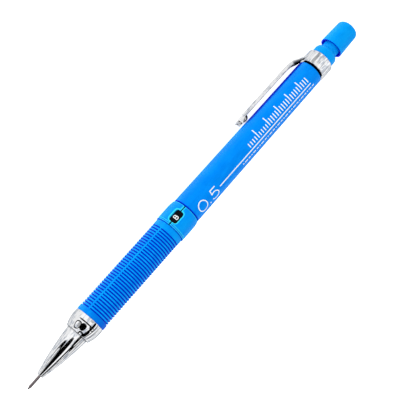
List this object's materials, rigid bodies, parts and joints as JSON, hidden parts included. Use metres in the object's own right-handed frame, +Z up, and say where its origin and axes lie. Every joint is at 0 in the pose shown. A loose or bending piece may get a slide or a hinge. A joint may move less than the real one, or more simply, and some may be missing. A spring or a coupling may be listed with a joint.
{
  "type": "mechanical pencil",
  "caption": "Slim push-button mechanical pencil: stepped metal nose cone with a guide pipe, ribbed grip, windowed indicator ring, round barrel, metal clip and a knock cap over an eraser.",
  "frame": {"origin": "middle of the pencil's footprint on the surface it lies on", "axes": "+X along the pencil towards the lead's point, +Z up from the surface; the pencil is rolled so that its clip points to -Y and down until the clip's edge rests on the surface"},
  "size_m": [0.142, 0.011, 0.0095],
  "materials": {
    "graphite": "drawn graphite composite, slightly glossy",
    "steel": "fine drawn stainless",
    "rubber": "soft, matte",
    "chrome": "polished chrome plating",
    "brass": "turned, bright",
    "inner_plastic": "natural polypropylene",
    "blue_grip": "moulded, satin on the crests, darker in the grooves",
    "black_plastic": "gloss, with printed grades",
    "blue_plastic": "moulded, glossy",
    "eraser_rubber": "soft white vinyl"
  },
  "bodies": {
    "barrel": {"front_barrel": "blue_grip", "nose_cone": "chrome", "guide_pipe": "steel", "lead_retainer": "rubber", "clutch_sleeve": "brass", "return_spring": "steel", "grade_drum": "black_plastic", "rear_barrel": "blue_plastic", "rear_bushing": "blue_plastic", "clip": "chrome"},
    "indicator_ring": {"indicator_ring": "blue_plastic"},
    "knock": {"knock_sleeve": "blue_plastic", "lead_tube": "inner_plastic", "tube_connector": "inner_plastic", "chuck": "brass", "spare_leads": "graphite"},
    "clutch_ring": {"clutch_ring": "brass"},
    "lead": {"lead": "graphite"},
    "eraser": {"eraser": "eraser_rubber"},
    "cap": {"cap": "blue_plastic"}
  },
  "joints": [
    {"name": "knock_press", "type": "slide", "parent": "barrel", "child": "knock", "axis": [1, 0, 0], "range_m": [0, 0.002], "stiffness_N_per_m": 2000, "deforming": ["return_spring"]},
    {"name": "clutch_ring_travel", "type": "slide", "parent": "barrel", "child": "clutch_ring", "axis": [1, 0, 0], "range_m": [0, 0.0005]},
    {"name": "lead_feed", "type": "slide", "parent": "barrel", "child": "lead", "axis": [1, 0, 0], "range_m": [0, 0.0005]},
    {"name": "indicator_turn", "type": "hinge", "parent": "barrel", "child": "indicator_ring", "pos_m": [0.0096, 0.00081, 0.00473], "axis": [1, 0, 0], "continuous": true},
    {"name": "eraser_pull", "type": "slide", "parent": "knock", "child": "eraser", "axis": [-1, 0, 0], "range_m": [0, 0.0055]},
    {"name": "cap_pull", "type": "slide", "parent": "eraser", "child": "cap", "axis": [-1, 0, 0], "range_m": [0, 0.008]}
  ],
  "couplings": [
    {"joint": "clutch_ring_travel", "follows": "knock_press", "ratio": 0.25},
    {"joint": "lead_feed", "follows": "knock_press", "ratio": 0.25}
  ]
}
